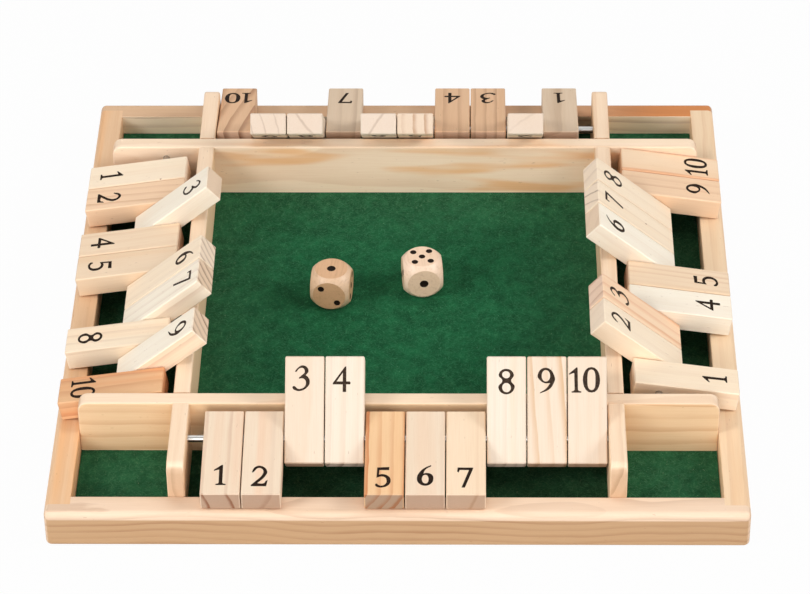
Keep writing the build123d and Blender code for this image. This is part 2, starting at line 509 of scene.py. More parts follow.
@dataclass(frozen=True)
class FeltFinish:
    """Pressed wool felt: matted fibres, pale lint and a soft sheen, with painted bounce light near the
    walls and painted shade in the troughs under the tiles.
    """

    base: Colour = paint(33, 102, 64)
    deep: Colour = paint(17, 70, 42)
    fibre: Colour = paint(66, 132, 90)
    lint: Colour = paint(158, 200, 160)
    # The next three fields paint bounce light: the felt is tinted from the middle out to the walls, as if
    # lit by light off the pine.
    cool: Colour = (0.84, 1.04, 1.0)
    warm: Colour = (1.45, 1.03, 1.08)
    warm_from: tuple[float, float] = (35.0, 105.0)
    # Painted shade: the next two fields darken the felt in the troughs, where the tiles shade it.
    unfaded: Colour = (0.80, 0.62, 0.60)
    trough_from: tuple[float, float] = (94.0, 99.0)

    def material(self) -> bpy.types.Material:
        """Makes the felt."""
        bench = NodeBench("felt_green")
        place = bench.mapped(bench.coordinates("Object"), (1 / MM,) * 3)
        blotch = bench.cloud(place, (0.16, 0.16, 0.16), 2.0, 4.0, 0.6)
        colour = bench.blend(bench.step(blotch, 0.28, 0.77), self.deep, self.base)
        heights = []
        for number, degrees in enumerate((8, 52, 97, 141)):
            laid = bench.mapped(place, turn=(0, 0, math.radians(degrees)))
            strand = bench.cloud(laid, (0.42, 2.4, 1.0), 5.0 + number * 3.7, 2.0, 0.6)
            heights.append(bench.step(strand, 0.48, 0.74))
            colour = bench.blend(bench.step(strand, 0.54, 0.74, 0.55), colour, self.fibre)
            shade = bench.step(strand, 0.44, 0.24, 0.5)
            colour = bench.blend(shade, colour, self.deep)
            speck = bench.cloud(laid, (0.55, 3.6, 1.0), 31.0 + number * 2.9, 1.0)
            colour = bench.blend(bench.step(speck, 0.76, 0.80, 0.5), colour, self.lint)
        along_x, along_y, _ = bench.split(place)
        far_x, far_y = bench.sum("ABSOLUTE", along_x), bench.sum("ABSOLUTE", along_y)
        off_centre = bench.sum("MAXIMUM", far_x, far_y)
        # Painted bounce light: the felt grows redder from the middle towards the walls.
        wood_bounce_cast = bench.blend(bench.step(off_centre, *self.warm_from), self.cool, self.warm)
        colour = bench.blend(1.0, colour, wood_bounce_cast, "MULTIPLY")
        # Painted shade: the felt in the troughs under the tiles is darkened.
        trough_shade_share = bench.sum(
            "MULTIPLY",
            bench.step(off_centre, *self.trough_from),
            bench.step(bench.sum("MINIMUM", far_x, far_y), *reversed(self.trough_from)),
        )
        colour = bench.blend(trough_shade_share, colour, self.unfaded, "MULTIPLY")
        bench.dress(
            Base_Color=colour,
            Roughness=0.95,
            Specular_IOR_Level=0.12,
            Sheen_Weight=0.06,
            Sheen_Roughness=0.45,
            Sheen_Tint=paint(150, 200, 165),
        )
        nap = bench.sum("MAXIMUM", heights[0], heights[1])
        nap = bench.sum("MAXIMUM", nap, bench.sum("MAXIMUM", heights[2], heights[3]))
        bench.bump(nap, 0.35, 0.6)
        return bench.material


@dataclass(frozen=True)
class SteelFinish:
    """Bright drawn steel rod with fine draw lines along it."""

    base: Colour = paint(180, 178, 174)

    def material(self, name: str, along: Side) -> bpy.types.Material:
        """Makes the steel of one rod.

        Args:
            name: The material's name.
            along: The side that the rod runs along.

        Returns:
            The material.
        """
        bench = NodeBench(name)
        place = bench.mapped(bench.coordinates("Object"), (1 / MM,) * 3)
        lines = (0.03, 4.0, 4.0) if along.value % 2 == 0 else (4.0, 0.03, 4.0)
        draw = bench.cloud(place, lines, 4.4, 3.0, 0.6)
        smudge = bench.cloud(place, (0.08, 0.08, 0.08), 9.1, 3.0)
        colour = bench.blend(bench.step(draw, 0.3, 0.7, 0.35), self.base, paint(140, 138, 135))
        rough = bench.sum("MULTIPLY_ADD", draw, 0.14, bench.sum("MULTIPLY_ADD", smudge, 0.1, 0.16))
        bench.dress(Base_Color=colour, Metallic=1.0, Roughness=rough)
        bench.bump(draw, 0.02, 0.4)
        return bench.material


@dataclass(frozen=True)
class DieFinish:
    """Close-grained hardwood, tumbled smooth, its rounded shoulders painted paler than the flat faces as a
    painted highlight.
    """

    pale: Colour
    face: Colour
    pore: Colour

    def material(self, name: str, middle: Vector, degrees: float) -> bpy.types.Material:
        """Makes the wood of one die.

        Args:
            name: The material's name.
            middle: The die's middle.
            degrees: How far the die is turned about its upright axis.

        Returns:
            The material.
        """
        bench = NodeBench(name)
        back = Matrix.Rotation(-math.radians(degrees), 3, "Z")
        angles = back.to_euler("XYZ")
        shift = -(back @ middle) / MM
        place = bench.mapped(bench.coordinates("Object"), (1 / MM,) * 3, angles, shift)
        facing = bench.split(bench.mapped(bench.coordinates("Normal"), turn=angles, kind="VECTOR"))
        straight = [bench.sum("ABSOLUTE", axis) for axis in facing]
        flat = bench.sum("MAXIMUM", straight[0], bench.sum("MAXIMUM", straight[1], straight[2]))
        # Painted highlight: the rounded shoulders take the paler colour, the flat faces the deeper one.
        on_face = bench.step(flat, 0.93, 0.995)
        colour = bench.blend(on_face, self.pale, self.face)
        grain = bench.cloud(place, (0.9, 0.06, 0.9), middle.x * 900, 3.0, 0.6)
        colour = bench.blend(bench.step(grain, 0.45, 0.75, 0.35), colour, self.pore)
        pores = bench.cloud(place, (3.2, 0.5, 3.2), middle.x * 700 + 3, 1.0)
        colour = bench.blend(bench.step(pores, 0.66, 0.76, 0.4), colour, self.pore)
        bench.dress(Base_Color=colour, Roughness=0.38, Specular_IOR_Level=0.42)
        bench.bump(bench.sum("ADD", grain, pores), 0.05, 0.3)
        return bench.material


@dataclass(frozen=True)
class PaintFinish:
    """Thin dark paint or print on wood, a little uneven."""

    name: str = "numeral_ink"
    dark: Colour = paint(30, 19, 12)
    worn: Colour = paint(58, 41, 28)
    roughness: float = 0.75

    def material(self) -> bpy.types.Material:
        """Makes the paint."""
        bench = NodeBench(self.name)
        place = bench.mapped(bench.coordinates("Object"), (1 / MM,) * 3)
        thin = bench.cloud(place, (0.9, 0.9, 0.9), 7.0, 4.0, 0.65)
        colour = bench.blend(bench.step(thin, 0.40, 0.78), self.dark, self.worn)
        bench.dress(
            Base_Color=colour,
            Roughness=bench.sum("MULTIPLY_ADD", thin, 0.15, self.roughness - 0.07),
            Specular_IOR_Level=0.12,
        )
        bench.bump(thin, 0.03, 0.3)
        return bench.material


@dataclass(frozen=True)
class VeneerFinish:
    """Plain rotary-cut plywood, as on the tray's underside."""

    pale: Colour = paint(222, 190, 146)
    brown: Colour = paint(190, 150, 104)

    def material(self) -> bpy.types.Material:
        """Makes the plywood."""
        bench = NodeBench("plywood_veneer")
        place = bench.mapped(bench.coordinates("Object"), (1 / MM,) * 3)
        broad = bench.cloud(place, (0.006, 0.045, 0.05), 3.3, 3.0, 0.55)
        swirl = bench.sum("FRACT", bench.sum("MULTIPLY", broad, 9.0))
        line = bench.sum("MULTIPLY", bench.step(swirl, 0.35, 0.9), bench.step(swirl, 1.0, 0.92))
        fibre = bench.cloud(place, (0.05, 2.2, 2.2), 6.1, 4.0, 0.6)
        colour = bench.blend(bench.sum("MULTIPLY", line, 0.6), self.pale, self.brown)
        colour = bench.blend(bench.step(fibre, 0.3, 0.75, 0.25), colour, (0.7, 0.55, 0.4), "MULTIPLY")
        bench.dress(Base_Color=colour, Roughness=0.68, Specular_IOR_Level=0.25)
        bench.bump(fibre, 0.15, 0.4)
        return bench.material


def dress_node(node: bpy.types.Object, finish: bpy.types.Material) -> None:
    """Gives a CAD node its finish, in all of its material slots.

    Args:
        node: The CAD node.
        finish: Its material.
    """
    for holder in node.material_slots:
        holder.material = finish


def finished_piece(
    name: str,
    shape: bmesh.types.BMesh,
    finishes: Sequence[bpy.types.Material],
    body: str,
) -> bpy.types.Object:
    """Turns a finished shape into a piece that rides on a body.

    Args:
        name: The piece's name.
        shape: Its shape, in place. It is freed.
        finishes: Its materials, in the order of the faces' material numbers.
        body: The body that it rides on.

    Returns:
        The new object.
    """
    mesh = bpy.data.meshes.new(name)
    shape.to_mesh(mesh)
    shape.free()
    for finish in finishes:
        mesh.materials.append(finish)
    piece = bpy.data.objects.new(name, mesh)
    bpy.context.scene.collection.objects.link(piece)
    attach(piece, body)
    LOG.info("built %s: %d faces on %s", name, len(mesh.polygons), body)
    return piece


def add_shape(whole: bmesh.types.BMesh, part: bmesh.types.BMesh) -> None:
    """Adds one shape to another.

    Args:
        whole: The shape that grows.
        part: The shape that is added. It is freed.
    """
    mesh = bpy.data.meshes.new("added_shape")
    part.to_mesh(mesh)
    part.free()
    whole.from_mesh(mesh)
    bpy.data.meshes.remove(mesh)


class Turn(Enum):
    """How an outline passes through one of its points."""

    ROUND = "AUTO"
    SHARP = "VECTOR"


R, S = Turn.ROUND, Turn.SHARP
Outline = tuple[tuple[float, float, Turn], ...]

# Roman book numerals, one unit high, as closed outlines. Holes are outlines of their own.
NUMERALS: dict[str, tuple[Outline, ...]] = {
    "0": (
        ((0, 0.5, R), (0.33, 1, R), (0.655, 0.5, R), (0.33, 0, R)),
        ((0.158, 0.5, R), (0.33, 0.927, R), (0.497, 0.5, R), (0.33, 0.079, R)),
    ),
    "1": (
        ((0.095, 0, S), (0.455, 0, S), (0.455, 0.03, S), (0.37, 0.05, R), (0.325, 0.10, S),
         (0.315, 0.98, S), (0.285, 0.985, S), (0, 0.745, S), (0, 0.72, S), (0.15, 0.775, R),
         (0.20, 0.78, S), (0.205, 0.72, S), (0.215, 0.10, S), (0.17, 0.05, R), (0.095, 0.03, S)),
    ),
    "2": (
        ((0.017, 0.70, S), (0.117, 0.93, R), (0.32, 1, R), (0.58, 0.744, R), (0.52, 0.51, R),
         (0.30, 0.233, R), (0.185, 0.126, S), (0.503, 0.126, R), (0.564, 0.233, S),
         (0.61, 0.265, S), (0.57, 0, S), (0, 0, S), (0, 0.04, S), (0.218, 0.28, R),
         (0.403, 0.51, R), (0.463, 0.744, R), (0.386, 0.88, R), (0.235, 0.916, R),
         (0.084, 0.744, R), (0.04, 0.69, S)),
    ),
    "3": (
        ((0.10, 0.765, S), (0.19, 0.89, R), (0.417, 1, R), (0.61, 0.807, R), (0.50, 0.615, S),
         (0.60, 0.53, R), (0.664, 0.357, R), (0.578, 0.154, R), (0.30, 0, R), (0.107, 0.026, R),
         (0.004, 0.133, R), (0.054, 0.176, R), (0.118, 0.133, R), (0.214, 0.062, R),
         (0.32, 0.064, R), (0.48, 0.154, R), (0.535, 0.347, R), (0.48, 0.454, R),
         (0.407, 0.50, R), (0.253, 0.4925, S), (0.25, 0.51, S), (0.385, 0.625, R),
         (0.47, 0.71, R), (0.48, 0.818, R), (0.407, 0.91, R), (0.30, 0.914, R),
         (0.214, 0.86, R), (0.14, 0.765, S)),
    ),
    "4": (
        ((0, 0.298, S), (0.393, 0.298, S), (0.393, 0, S), (0.508, 0, S), (0.508, 0.298, S),
         (0.66, 0.298, S), (0.68, 0.345, R), (0.66, 0.395, S), (0.508, 0.395, S),
         (0.508, 1, S), (0.47, 0.985, S), (0, 0.335, S)),
        ((0.119, 0.395, S), (0.393, 0.395, S), (0.393, 0.795, S)),
    ),
    "5": (
        ((0.073, 0.976, S), (0.513, 1, S), (0.505, 0.878, S), (0.133, 0.878, S),
         (0.112, 0.61, S), (0.278, 0.642, R), (0.489, 0.54, R), (0.571, 0.337, R),
         (0.489, 0.114, R), (0.248, 0, R), (0.066, 0.033, R), (0, 0.114, R), (0.036, 0.163, R),
         (0.112, 0.093, R), (0.263, 0.065, R), (0.414, 0.175, R), (0.444, 0.337, R),
         (0.384, 0.50, R), (0.218, 0.553, R), (0.097, 0.52, R), (0.051, 0.50, S)),
    ),
    "6": (
        ((0.52, 1, S), (0.30, 0.878, R), (0.09, 0.633, R), (0.006, 0.388, R), (0.076, 0.122, R),
         (0.302, 0, R), (0.529, 0.102, R), (0.613, 0.327, R), (0.559, 0.531, R),
         (0.378, 0.612, R), (0.227, 0.571, S), (0.257, 0.714, R), (0.378, 0.878, R),
         (0.52, 0.967, S)),
        ((0.166, 0.327, R), (0.317, 0.551, R), (0.459, 0.327, R), (0.332, 0.082, R)),
    ),
    "7": (
        ((0.024, 0.99, S), (0.598, 0.985, S), (0.589, 0.93, S), (0.278, 0.012, S),
         (0.18, 0.012, S), (0.468, 0.89, S), (0.076, 0.90, S), (0.045, 0.78, S),
         (0.006, 0.81, S)),
    ),
    "8": (
        ((0.30, 1, R), (0.591, 0.776, R), (0.48, 0.537, R), (0.623, 0.28, R), (0.30, 0, R),
         (0, 0.26, R), (0.16, 0.537, R), (0.016, 0.776, R)),
        ((0.128, 0.79, R), (0.295, 0.926, R), (0.463, 0.77, R), (0.31, 0.617, R)),
        ((0.128, 0.26, R), (0.30, 0.457, R), (0.495, 0.24, R), (0.31, 0.064, R)),
    ),
    "9": (
        ((0, 0.71, R), (0.32, 1, R), (0.657, 0.615, R), (0.61, 0.39, R), (0.43, 0.15, R),
         (0.096, 0, S), (0.115, 0.03, S), (0.33, 0.17, R), (0.46, 0.34, R), (0.50, 0.41, S),
         (0.40, 0.40, R), (0.29, 0.40, R), (0.12, 0.49, R)),
        ((0.138, 0.70, R), (0.31, 0.926, R), (0.497, 0.68, R), (0.30, 0.445, R)),
    ),
}


@dataclass
class NumeralCutter:
    """Cuts the numerals as thin plates of print, one number at a time."""

    height: float = 10.9
    thickness: float = 0.05
    letter_gap: float = 0.085
    raised_swell: float = 0.12
    lying_swell: float = 0.17
    steps: int = 5

    @staticmethod
    def signed_area(outline: Outline) -> float:
        """Gives an outline's area, which is above zero if it runs to the left."""
        nexts = outline[1:] + outline[:1]
        return sum(a[0] * b[1] - b[0] * a[1] for a, b in zip(outline, nexts)) / 2

    def plate(self, number: int, shows_raised: bool) -> bmesh.types.BMesh:
        """Cuts one number, centred on the origin and facing +Z.

        Args:
            number: The number to cut.
            shows_raised: True for the face that shows while the tile is raised.

        Returns:
            The shape, in metres.
        """
        curve = bpy.data.curves.new(f"outline_{number}", "CURVE")
        curve.dimensions = "2D"
        curve.fill_mode = "BOTH"
        curve.resolution_u = self.steps
        curve.extrude = self.thickness / 2
        curve.offset = self.raised_swell if shows_raised else self.lying_swell
        scale = self.height
        start = 0.0
        for digit in str(number):
            width = max(x for outline in NUMERALS[digit] for x, _, _ in outline)
            for order, outline in enumerate(NUMERALS[digit]):
                if (self.signed_area(outline) > 0) == (order > 0):
                    outline = outline[::-1]
                spline = curve.splines.new("BEZIER")
                spline.bezier_points.add(len(outline) - 1)
                spline.use_cyclic_u = True
                for point, (x, y, turn) in zip(spline.bezier_points, outline):
                    point.handle_left_type = point.handle_right_type = turn.value
                    point.co = ((start + x) * scale, (y - 0.5) * scale, 0)
            start += width + self.letter_gap
        start -= self.letter_gap
        holder = bpy.data.objects.new(curve.name, curve)
        mesh = bpy.data.meshes.new_from_object(holder)
        shape = bmesh.new()
        shape.from_mesh(mesh)
        bpy.data.objects.remove(holder)
        bpy.data.curves.remove(curve)
        bpy.data.meshes.remove(mesh)
        bmesh.ops.remove_doubles(shape, verts=shape.verts, dist=0.002)
        bmesh.ops.translate(shape, verts=shape.verts, vec=(-start * scale / 2, 0, 0))
        bmesh.ops.scale(shape, verts=shape.verts, vec=(MM, MM, MM))
        bmesh.ops.recalc_face_normals(shape, faces=shape.faces)
        return shape


@dataclass(frozen=True)
class TileLook:
    """What one tile shows: its wood, and how far its numeral is off centre in mm."""

    cut: PineCut
    off_right: float = 0.0
    off_up: float = 0.0


def look(
    tone: Tone,
    pith_angle: float,
    pith_distance: float,
    ring: float,
    contrast: float,
    blush: float = 0.2,
    wave: float = 0.5,
    at: float = 0.0,
    late: float = 0.45,
    end: float | None = None,
    lean: float = 0.01,
    knot: tuple[float, float, float] | None = None,
    off: tuple[float, float] = (0.0, 0.0),
    flank: float = 0.15,
) -> TileLook:
    """Sets down one tile's look in one line.

    Args:
        tone: The shade of pine.
        pith_angle: Direction of the pith in the tile's end, in degrees from across.
        pith_distance: Distance of the pith in millimetres.
        ring: Distance between two rings in millimetres.
        contrast: Strength of the rings.
        blush: Strength of the heart streaks.
        wave: How far the rings wander in millimetres.
        at: Where one ring line crosses the upper face, in millimetres across.
        late: The late wood's share of a ring.
        end: Strength of the rings in the end grain, if it isn't the same.
        lean: How much the rings lean against the tile's length.
        knot: A knot's place along and across, and its radius.
        off: How far the numeral is off centre, to the reader's right and up.
        flank: How much the flanks take the heart's colour, as painted shading of the sides.

    Returns:
        The look.
    """
    cut = PineCut(
        tone, pith_angle, pith_distance, ring, contrast, blush, wave, lean, knot,
        late=late, end_contrast=contrast if end is None else end, line_at=(at, TILE_FACE_UP),
        flank=flank,
    )
    return TileLook(cut, *off)


TILE_LOOKS: dict[Side, tuple[TileLook, ...]] = {
    Side.FRONT: (
        look(Tone.ROSE, 197, 60, 9.8, 0.40, 0.3, 0.1, 3.2, 0.16, 1.8, off=(-0.3, -0.3)),
        look(Tone.ROSE, 155, 60, 15.0, 0.45, 0.4, 0.1, 4.6, 0.16, 1.4, off=(-0.8, -0.9)),
        look(Tone.PALE, 80, 60, 9.0, 0.16, 0.2, 0.4, 0.0, 0.5, 0.8, off=(-1.5, 0.0)),
        look(Tone.MILK, 10, 50, 6.0, 0.14, 0.1, 0.4, 0.0, 0.5, 0.8, off=(-1.4, -0.4)),
        look(Tone.HONEY, 150, 60, 4.8, 1.50, 0.4, 0.1, -1.6, 0.50, 2.2, off=(-0.5, -1.5)),
        look(Tone.ROSE, 178, 70, 16.0, 0.35, 0.2, 0.1, 7.3, 0.08, 0.4, off=(0.0, -0.5)),
        look(Tone.STRAW, 160, 50, 13.0, 0.35, 0.1, 0.2, 4.8, 0.10, 1.3, off=(-0.4, -1.6)),
        look(Tone.MILK, 5, 50, 4.5, 0.16, 0.3, 0.3, 0.0, 0.5, 0.8, off=(0.0, -1.4)),
        look(Tone.PALE, 8, 60, 6.4, 0.60, 0.1, 0.5, -1.2, 0.45, 1.5, -0.08, off=(-0.3, -0.9)),
        look(Tone.PALE, 175, 44, 5.0, 0.16, 0.4, 0.4, 0.0, 0.5, 0.8, off=(-1.2, -0.6)),
    ),
    Side.RIGHT: (
        look(Tone.CREAM, 70, 40, 6.0, 0.14, 0.2, 0.8),
        look(Tone.CREAM, 20, 50, 8.0, 0.10, 0.2, 0.4, 2.0, 0.4, 0.1),
        look(Tone.PEACH, 8, 60, 6.4, 0.60, 1.0, 0.3, 4.6, 0.40, 0.7, 0.03),
        look(Tone.BLEACHED, 100, 46, 7.0, 0.10, 0.1, 0.5),
        look(Tone.STRAW, 10, 60, 3.4, 0.34, 0.2, 0.2, 0.0, 0.5),
        look(Tone.BLEACHED, 60, 50, 8.0, 0.06, 0.2, 0.5, 0.0, 0.4, 0.1),
        look(Tone.CREAM, -25, 60, 5.6, 0.20, 0.3, 0.2, -6.5, 0.22, 1.1, knot=(-6.0, 0.5, 0.35)),
        look(Tone.CREAM, 12, 60, 7.6, 0.12, 0.3, 0.3, 0.0, 0.35, 0.2),
        look(Tone.TAN, 15, 60, 5.2, 0.40, 0.2, 0.3, -2.0, 0.4),
        look(Tone.AMBER, 178, 60, 17.0, 0.95, 0.2, 0.2, -7.6, 0.18),
    ),
    # The back row's lying tiles take the two darkened tones, a painted shade.
    Side.BACK: (
        look(Tone.ASH, 65, 30, 7.0, 0.40, 0.4, 0.6),
        look(Tone.MILK, -55, 50, 12.0, 0.25, 0.1, 0.2, 4.0, 0.07, 0.45),
        look(Tone.DUSK, 5, 50, 5.0, 0.60, 0.4, 0.3, 1.0, 0.4),
        look(Tone.DUSK, 172, 50, 7.0, 0.55, 0.4, 0.3, -3.0, 0.4),
        look(Tone.BLUSH, 2, 60, 5.4, 0.35, 0.2, 0.1, -0.6, 0.45, 0.9),
        look(Tone.MILK, -34, 60, 15.0, 0.25, 0.1, 0.1, 2.5, 0.05, 0.45),
        look(Tone.ASH, 10, 40, 7.0, 0.35, 0.1, 0.5, 1.5, 0.4),
        look(Tone.MILK, 38, 60, 15.0, 0.25, 0.1, 0.1, -3.4, 0.05, 0.45),
        look(Tone.MILK, 196, 40, 6.0, 0.30, 0.1, 0.3, 2.6, 0.12, 0.6),
        look(Tone.DUSK, 175, 34, 6.6, 0.90, 0.4, 1.6, 0.0, 0.50, 1.0, 0.24),
    ),
    Side.LEFT: (
        # The side share in a look paints shade on the tile's side faces.
        look(Tone.CREAM, 70, 44, 9.0, 0.10, 0.1, 0.5, knot=(-11.6, 7.7, 0.35), flank=1.0),
        look(Tone.TAN, 15, 40, 5.0, 0.50, 0.4, 0.5, 0.0, 0.45, 0.9, 0.06),
        look(Tone.BLEACHED, 80, 60, 9.0, 0.05, 0.0, 0.4, end=0.4),
        look(Tone.STRAW, 20, 50, 5.5, 0.22, 0.2, 0.5),
        look(Tone.STRAW, 95, 50, 9.0, 0.08, 0.3, 0.6),
        look(Tone.CREAM, -45, 60, 3.6, 0.16, 0.1, 0.2, 0.0, 0.50, 1.4),
        look(Tone.BLEACHED, -42, 50, 3.9, 0.30, 0.1, 0.2, 0.0, 0.50, 1.15),
        look(Tone.CREAM, 25, 44, 5.0, 0.30, 0.3, 0.4, 2.5, 0.4, flank=0.0),
        look(Tone.BLEACHED, -48, 60, 3.8, 0.06, 0.1, 0.3, 0.0, 0.45, 1.1, flank=0.9),
        look(Tone.EMBER, 60, 24, 4.6, 0.85, 0.6, 1.0, 0.0, 0.5),
    ),
}


@dataclass
class TileRow:
    """Ten numbered tiles that turn on one rod, with a numeral on both of their faces."""

    side: Side
    joints: dict[str, dict]
    cutter: NumeralCutter
    inks: Sequence[bpy.types.Material]
    raised_top: float = 4.2
    lying_foot: float = 5.5
    sink: float = 0.01
    pieces: list[bpy.types.Object] = field(default_factory=list)

    def build(self, nodes: dict[str, bpy.types.Object]) -> None:
        """Dresses every tile of the row and prints its numerals.

        Args:
            nodes: The CAD nodes by name.
        """
        for number, tile_look in enumerate(TILE_LOOKS[self.side], start=1):
            name = f"tile_{self.side.word}_{number:02d}"
            lie, half_length, half_thickness = self.lie_of(nodes[name], self.joints[name])
            seed = self.side.value * 17.0 + number * 1.61
            dress_node(nodes[name], tile_look.cut.material(f"pine_{name}", lie, seed))
            raised = self.joints[name]["range_deg"][0] < 0
            shape = bmesh.new()
            for face_up, shows_raised in ((1, raised), (-1, not raised)):
                plate = self.cutter.plate(number, shows_raised)
                place = self.numeral_place(
                    lie, half_length, half_thickness, face_up, shows_raised, tile_look
                )
                bmesh.ops.transform(plate, matrix=place, verts=plate.verts)
                for face in plate.faces:
                    # Faces that show while the tile is raised take the paler ink, a painted sheen.
                    face.material_index = int(shows_raised)
                add_shape(shape, plate)
            piece_name = f"numerals_{self.side.word}_{number:02d}"
            self.pieces.append(finished_piece(piece_name, shape, self.inks, name))

    @staticmethod
    def lie_of(tile: bpy.types.Object, joint: dict) -> tuple[Lie, float, float]:
        """Reads a tile's lie at rest from its mesh and its joint.

        Args:
            tile: The tile's CAD node.
            joint: Its hinge.

        Returns:
            The lie, whose along points to the numbered end and whose up is the face that
            looks upwards at rest, then half the length and half the thickness.
        """
        widest = max(tile.data.polygons, key=lambda polygon: polygon.area)
        up = widest.normal.normalized()
        if up.z < 0:
            up = -up
        pivot = Vector(joint["pos_m"])
        along = Vector(joint["axis"]).cross(up).normalized()
        reaches = [(vertex.co - pivot).dot(along) for vertex in tile.data.vertices]
        if max(reaches) < -min(reaches):
            along = -along
            reaches = [-reach for reach in reaches]
        heights = [(vertex.co - pivot).dot(up) for vertex in tile.data.vertices]
        across = up.cross(along)
        middle = (
            pivot
            + along * (max(reaches) + min(reaches)) / 2
            + up * (max(heights) + min(heights)) / 2
        )
        half_length = (max(reaches) - min(reaches)) / 2
        half_thickness = (max(heights) - min(heights)) / 2
        return Lie(middle, along, across, up), half_length, half_thickness

    def numeral_place(
        self,
        lie: Lie,
        half_length: float,
        half_thickness: float,
        face_up: int,
        shows_raised: bool,
        tile_look: TileLook,
    ) -> Matrix:
        """Finds where a numeral goes on one face of a tile.

        Args:
            lie: The tile's lie.
            half_length: Half its length.
            half_thickness: Half its thickness.
            face_up: 1 for the face that looks up at rest, or -1 for the other.
            shows_raised: True for the face that shows while the tile is raised.
            tile_look: The tile's look.

        Returns:
            The place of the numeral's plate.
        """
        facing = lie.up * face_up
        if shows_raised:
            digit_up = lie.along
            from_end = self.raised_top + self.cutter.height / 2 - tile_look.off_up
        else:
            digit_up = -lie.along
            from_end = self.lying_foot + self.cutter.height / 2 + tile_look.off_up
        digit_right = digit_up.cross(facing)
        lift = half_thickness + (self.cutter.thickness / 2 - self.sink) * MM
        centre = (
            lie.middle
            + lie.along * (half_length - from_end * MM)
            + digit_right * tile_look.off_right * MM
            + facing * lift
        )
        turned = Matrix((digit_right, digit_up, facing)).transposed()
        return Matrix.Translation(centre) @ turned.to_4x4()


@dataclass
class Tray:
    """The pine frame, its dividers, the rods and the panel under the felt."""

    grain_x: Vector = field(default_factory=lambda: Vector((1, 0, 0)))
    grain_y: Vector = field(default_factory=lambda: Vector((0, 1, 0)))
    cuts: dict[str, PineCut] = field(
        default_factory=lambda: {
            # In these cuts the side share paints shade on the faces that look across the grain; the front
            # rail also keeps a painted highlight band along their top.
            "rail_front": PineCut(
                Tone.FRAME, 100, 60, 3.8, 0.34, 0.2, 2.2, 0.030, flank=1.0, flank_reach=5.4),
            # The back rail's side faces are painted pale, painted light on its shaded inner face; its
            # upward faces take a painted deeper orange towards one end.
            "rail_back": PineCut(
                Tone.RUSSET, 80, 30, 5.0, 0.12, 0.2, 0.8, 0.010, flank=1.0,
                flank_colour=paint(255, 236, 208), glow=(60.0, 128.0)),
            "rail_left": PineCut(Tone.ORANGE, 20, 44, 7.0, 0.35, 0.8, 0.6, 0.008),
            "rail_right": PineCut(Tone.RUDDY, 165, 44, 6.0, 0.30, 0.5, 0.6, 0.008),
            "divider_front": PineCut(Tone.BOARD, 100, 40, 7.0, 0.25, 0.1, 1.2, 0.020, flank=1.0),
            "divider_back": PineCut(
                Tone.HUMID, 8, 14, 7.5, 0.25, 0.9, 1.8, 0.020, flank=0.0, streak_length=60.0),
            "divider_left": PineCut(Tone.BOARD, 175, 40, 5.2, 0.20, 0.2, 0.6, 0.010, flank=0.7),
            "divider_right": PineCut(Tone.BOARD, 20, 44, 5.6, 0.22, 0.3, 0.6, 0.010, flank=0.7),
        }
    )

    def build(self, nodes: dict[str, bpy.types.Object]) -> None:
        """Dresses the rails, dividers, rods and panel.

        Args:
            nodes: The CAD nodes by name.
        """
        for seed, (name, cut) in enumerate(self.cuts.items()):
            runs_x = name.endswith(("front", "back"))
            lie = Lie.of_box(name, self.grain_x if runs_x else self.grain_y)
            dress_node(nodes[name], cut.material(f"pine_{name}", lie, 101.0 + seed * 3.7))
            LOG.info("dressed %s", name)
        for side in Side:
            name = f"rod_{side.word}"
            dress_node(nodes[name], SteelFinish().material(f"steel_{name}", side))
            LOG.info("dressed %s", name)
        dress_node(nodes["base_panel"], VeneerFinish().material())
        LOG.info("dressed base_panel")


@dataclass
class FeltSheet:
    """Sheet of felt glued on the floor panel, from rail to rail."""

    cells: int = 120
    unevenness: float = 0.10
    edge_sag: float = 0.12

    def build(self) -> bpy.types.Object:
        """Makes the sheet in the place of its CAD solid.

        Returns:
            The piece.
        """
        low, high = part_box("felt_sheet")
        middle = (low + high) / 2
        half = (high - low) / 2
        shape = bmesh.new()
        bmesh.ops.create_grid(shape, x_segments=self.cells, y_segments=self.cells, size=1)
        bmesh.ops.scale(shape, vec=(half.x, half.y, 1), verts=shape.verts)
        bmesh.ops.translate(shape, vec=(middle.x, middle.y, low.z), verts=shape.verts)
        grown = bmesh.ops.extrude_face_region(shape, geom=list(shape.faces))
        top = [item for item in grown["geom"] if isinstance(item, bmesh.types.BMVert)]
        bmesh.ops.translate(shape, vec=(0, 0, high.z - low.z), verts=top)
        for vertex in top:
            wander = noise.noise(Vector((vertex.co.x, vertex.co.y, 0)) * 220)
            nap = noise.noise(Vector((vertex.co.x, vertex.co.y, 0.5)) * 900)
            dip = self.unevenness * (0.5 + 0.3 * wander + 0.2 * nap)
            border = min(half.x - abs(vertex.co.x - middle.x), half.y - abs(vertex.co.y - middle.y))
            if border < 1 * MM:
                dip += self.edge_sag
            vertex.co.z -= dip * MM
        bmesh.ops.recalc_face_normals(shape, faces=shape.faces)
        piece = finished_piece("felt_cloth", shape, [FeltFinish().material()], "tray")
        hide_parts("felt_sheet")
        return piece


